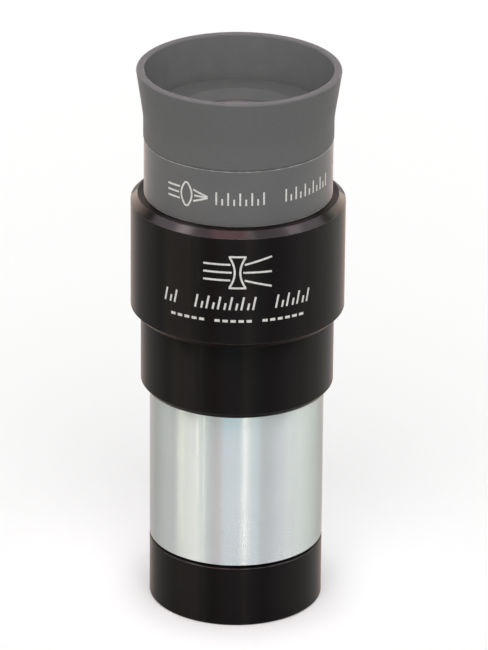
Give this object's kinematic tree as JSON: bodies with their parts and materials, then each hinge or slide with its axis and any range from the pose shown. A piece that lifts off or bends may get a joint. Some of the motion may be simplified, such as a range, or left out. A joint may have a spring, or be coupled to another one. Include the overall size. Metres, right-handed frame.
{
  "type": "barlow lens",
  "caption": "Stepped black and chrome telescope tube with a lens cell at its foot and a clamped socket holding a grey eyepiece; it lengthens the focus to raise magnification.",
  "frame": {"origin": "on the optical axis, in the plane of the lens cell's bottom rim", "axes": "+Z along the optical axis from the telescope towards the eye; the thumbscrew points along +Y, so -Y is the front that carries the marks"},
  "size_m": [0.0388, 0.0476, 0.1032],
  "materials": {
    "black_anodised": "gloss black anodised, fine turning marks",
    "inner_black": "matt black",
    "chrome": "polished plating",
    "brass": "turned, unpolished",
    "grey_anodised": "satin grey",
    "grey_rubber": "matt moulded",
    "coated_glass": "multi-coated, faint green and magenta reflections"
  },
  "bodies": {
    "barlow_body": {"body_sleeve": "black_anodised", "eyepiece_holder": "black_anodised", "nosepiece_barrel": "chrome", "light_baffle": "inner_black", "compression_ring": "brass"},
    "barlow_lens_pair": {"barlow_negative_lens": "coated_glass", "barlow_positive_lens": "coated_glass"},
    "cell": {"lens_cell": "black_anodised", "lens_retaining_ring": "inner_black"},
    "clamp_stud": {"thumbscrew_stud": "brass"},
    "clamp_head": {"thumbscrew_head": "chrome"},
    "eyepiece_optics": {"eyepiece_lens_housing": "inner_black", "eye_lens_flint": "coated_glass", "eye_lens_crown": "coated_glass", "lens_spacer": "inner_black", "field_lens_crown": "coated_glass", "field_lens_flint": "coated_glass", "eyepiece_retaining_ring": "inner_black"},
    "eyepiece_shell": {"eyepiece_body": "grey_anodised", "eyepiece_barrel": "chrome", "eyecup": "grey_rubber", "field_stop": "inner_black"}
  },
  "joints": [
    {"name": "cell_travel", "type": "slide", "parent": "barlow_body", "child": "barlow_lens_pair", "axis": [0, 0, -1], "range_m": [0, 0.0042]},
    {"name": "cell_turn", "type": "hinge", "parent": "barlow_lens_pair", "child": "cell", "pos_m": [0, 0, 0.008], "axis": [0, 0, -1], "range_deg": [0, 2521]},
    {"name": "thumbscrew_travel", "type": "slide", "parent": "barlow_body", "child": "clamp_stud", "axis": [0, 1, 0], "range_m": [0, 0.0021]},
    {"name": "thumbscrew_turn", "type": "hinge", "parent": "clamp_stud", "child": "clamp_head", "pos_m": [0, 0.024, 0.0693], "axis": [0, 1, 0], "range_deg": [0, 1081]},
    {"name": "eyepiece_lift", "type": "slide", "parent": "barlow_body", "child": "eyepiece_optics", "axis": [0, 0, 1], "range_m": [0, 0.04]},
    {"name": "eyepiece_turn", "type": "hinge", "parent": "eyepiece_optics", "child": "eyepiece_shell", "pos_m": [0, 0, 0.085], "axis": [0, 0, 1], "continuous": true}
  ],
  "couplings": [
    {"joint": "cell_turn", "follows": "cell_travel", "rad_per_m": 10472},
    {"joint": "thumbscrew_turn", "follows": "thumbscrew_travel", "rad_per_m": 8976}
  ]
}
